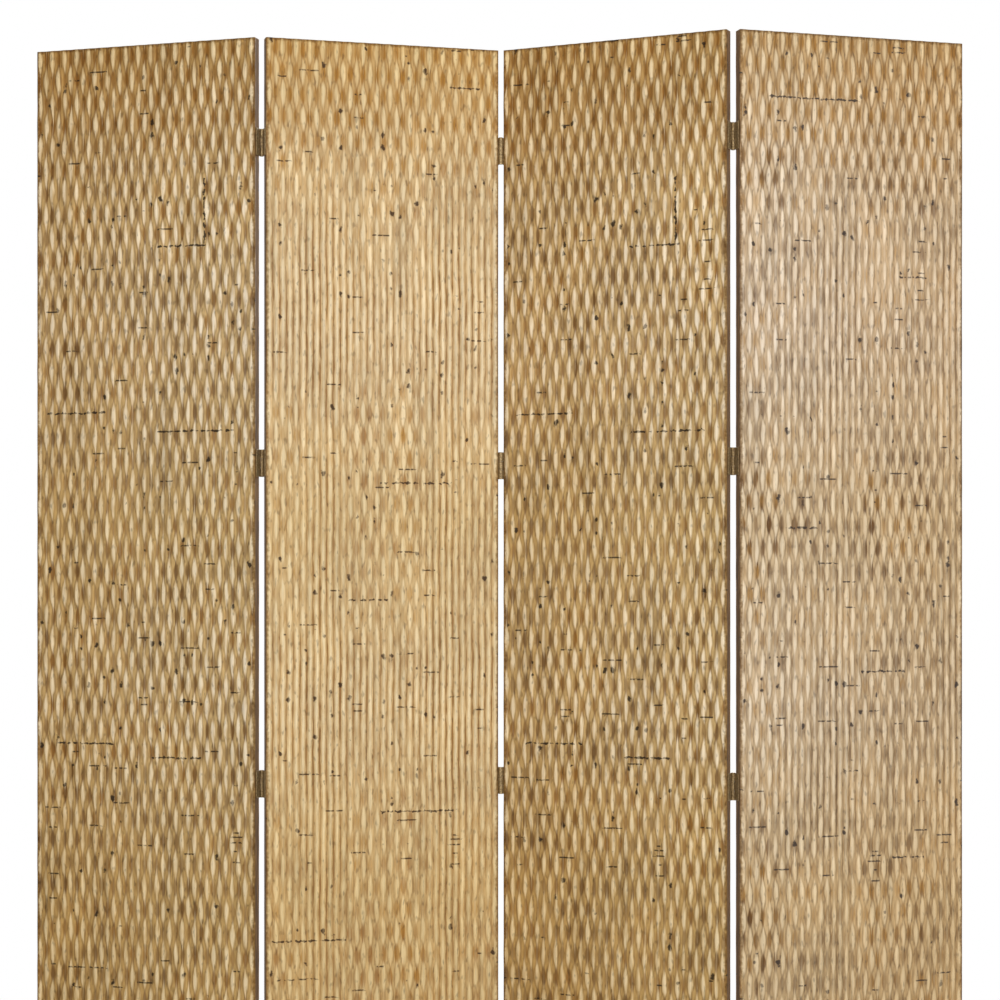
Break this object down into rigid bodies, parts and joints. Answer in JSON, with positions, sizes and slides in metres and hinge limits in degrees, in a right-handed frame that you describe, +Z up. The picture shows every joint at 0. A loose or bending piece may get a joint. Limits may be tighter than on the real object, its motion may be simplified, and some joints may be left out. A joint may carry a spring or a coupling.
{
  "type": "folding screen",
  "caption": "Free-standing folding screen of tall panels with carved wave-relief skins, hung on butt hinges that alternate back and front so that it folds like an accordion.",
  "frame": {"origin": "middle of the standing screen's bounding box, on the floor", "axes": "+Z up, +X to the right across the screen, -Y towards the front that is shown"},
  "size_m": [1.7174, 0.1824, 2.134],
  "materials": {
    "carved_board": "carved fibreboard, brushed tan and gold paint with cream on the crests, lightly distressed",
    "frame_wood": "softwood, edges painted dark brown",
    "hinge_metal": "antique bronze plated steel",
    "pin_metal": "antique bronze plated steel",
    "screw_metal": "antique bronze plated steel"
  },
  "bodies": {
    "panel_1": {"panel_1_back_skin": "carved_board", "panel_1_bottom_rail": "frame_wood", "panel_1_cross_rails": "frame_wood", "panel_1_front_skin": "carved_board", "panel_1_left_stile": "frame_wood", "panel_1_right_stile": "frame_wood", "panel_1_screws": "screw_metal", "panel_1_top_rail": "frame_wood", "seam_1_hinge_1_left_leaf": "hinge_metal", "seam_1_hinge_2_left_leaf": "hinge_metal", "seam_1_hinge_3_left_leaf": "hinge_metal", "seam_1_hinge_4_left_leaf": "hinge_metal", "seam_1_pins": "pin_metal"},
    "panel_2": {"panel_2_back_skin": "carved_board", "panel_2_bottom_rail": "frame_wood", "panel_2_cross_rails": "frame_wood", "panel_2_front_skin": "carved_board", "panel_2_left_stile": "frame_wood", "panel_2_right_stile": "frame_wood", "panel_2_screws": "screw_metal", "panel_2_top_rail": "frame_wood", "seam_1_hinge_1_right_leaf": "hinge_metal", "seam_1_hinge_2_right_leaf": "hinge_metal", "seam_1_hinge_3_right_leaf": "hinge_metal", "seam_1_hinge_4_right_leaf": "hinge_metal", "seam_2_hinge_1_left_leaf": "hinge_metal", "seam_2_hinge_2_left_leaf": "hinge_metal", "seam_2_hinge_3_left_leaf": "hinge_metal", "seam_2_hinge_4_left_leaf": "hinge_metal", "seam_2_pins": "pin_metal"},
    "panel_3": {"panel_3_back_skin": "carved_board", "panel_3_bottom_rail": "frame_wood", "panel_3_cross_rails": "frame_wood", "panel_3_front_skin": "carved_board", "panel_3_left_stile": "frame_wood", "panel_3_right_stile": "frame_wood", "panel_3_screws": "screw_metal", "panel_3_top_rail": "frame_wood", "seam_2_hinge_1_right_leaf": "hinge_metal", "seam_2_hinge_2_right_leaf": "hinge_metal", "seam_2_hinge_3_right_leaf": "hinge_metal", "seam_2_hinge_4_right_leaf": "hinge_metal", "seam_3_hinge_1_left_leaf": "hinge_metal", "seam_3_hinge_2_left_leaf": "hinge_metal", "seam_3_hinge_3_left_leaf": "hinge_metal", "seam_3_hinge_4_left_leaf": "hinge_metal", "seam_3_pins": "pin_metal"},
    "panel_4": {"panel_4_back_skin": "carved_board", "panel_4_bottom_rail": "frame_wood", "panel_4_cross_rails": "frame_wood", "panel_4_front_skin": "carved_board", "panel_4_left_stile": "frame_wood", "panel_4_right_stile": "frame_wood", "panel_4_screws": "screw_metal", "panel_4_top_rail": "frame_wood", "seam_3_hinge_1_right_leaf": "hinge_metal", "seam_3_hinge_2_right_leaf": "hinge_metal", "seam_3_hinge_3_right_leaf": "hinge_metal", "seam_3_hinge_4_right_leaf": "hinge_metal"}
  },
  "joints": [
    {"name": "seam_1", "type": "hinge", "parent": "panel_2", "child": "panel_1", "pos_m": [-0.42532, -0.03686, 1.067], "axis": [0, 0, 1], "range_deg": [-148, 32]},
    {"name": "seam_2", "type": "hinge", "parent": "panel_2", "child": "panel_3", "pos_m": [0.00761, 0.06661, 1.067], "axis": [0, 0, 1], "range_deg": [-141, 39]},
    {"name": "seam_3", "type": "hinge", "parent": "panel_3", "child": "panel_4", "pos_m": [0.43226, -0.06681, 1.067], "axis": [0, 0, 1], "range_deg": [-40, 140]}
  ]
}
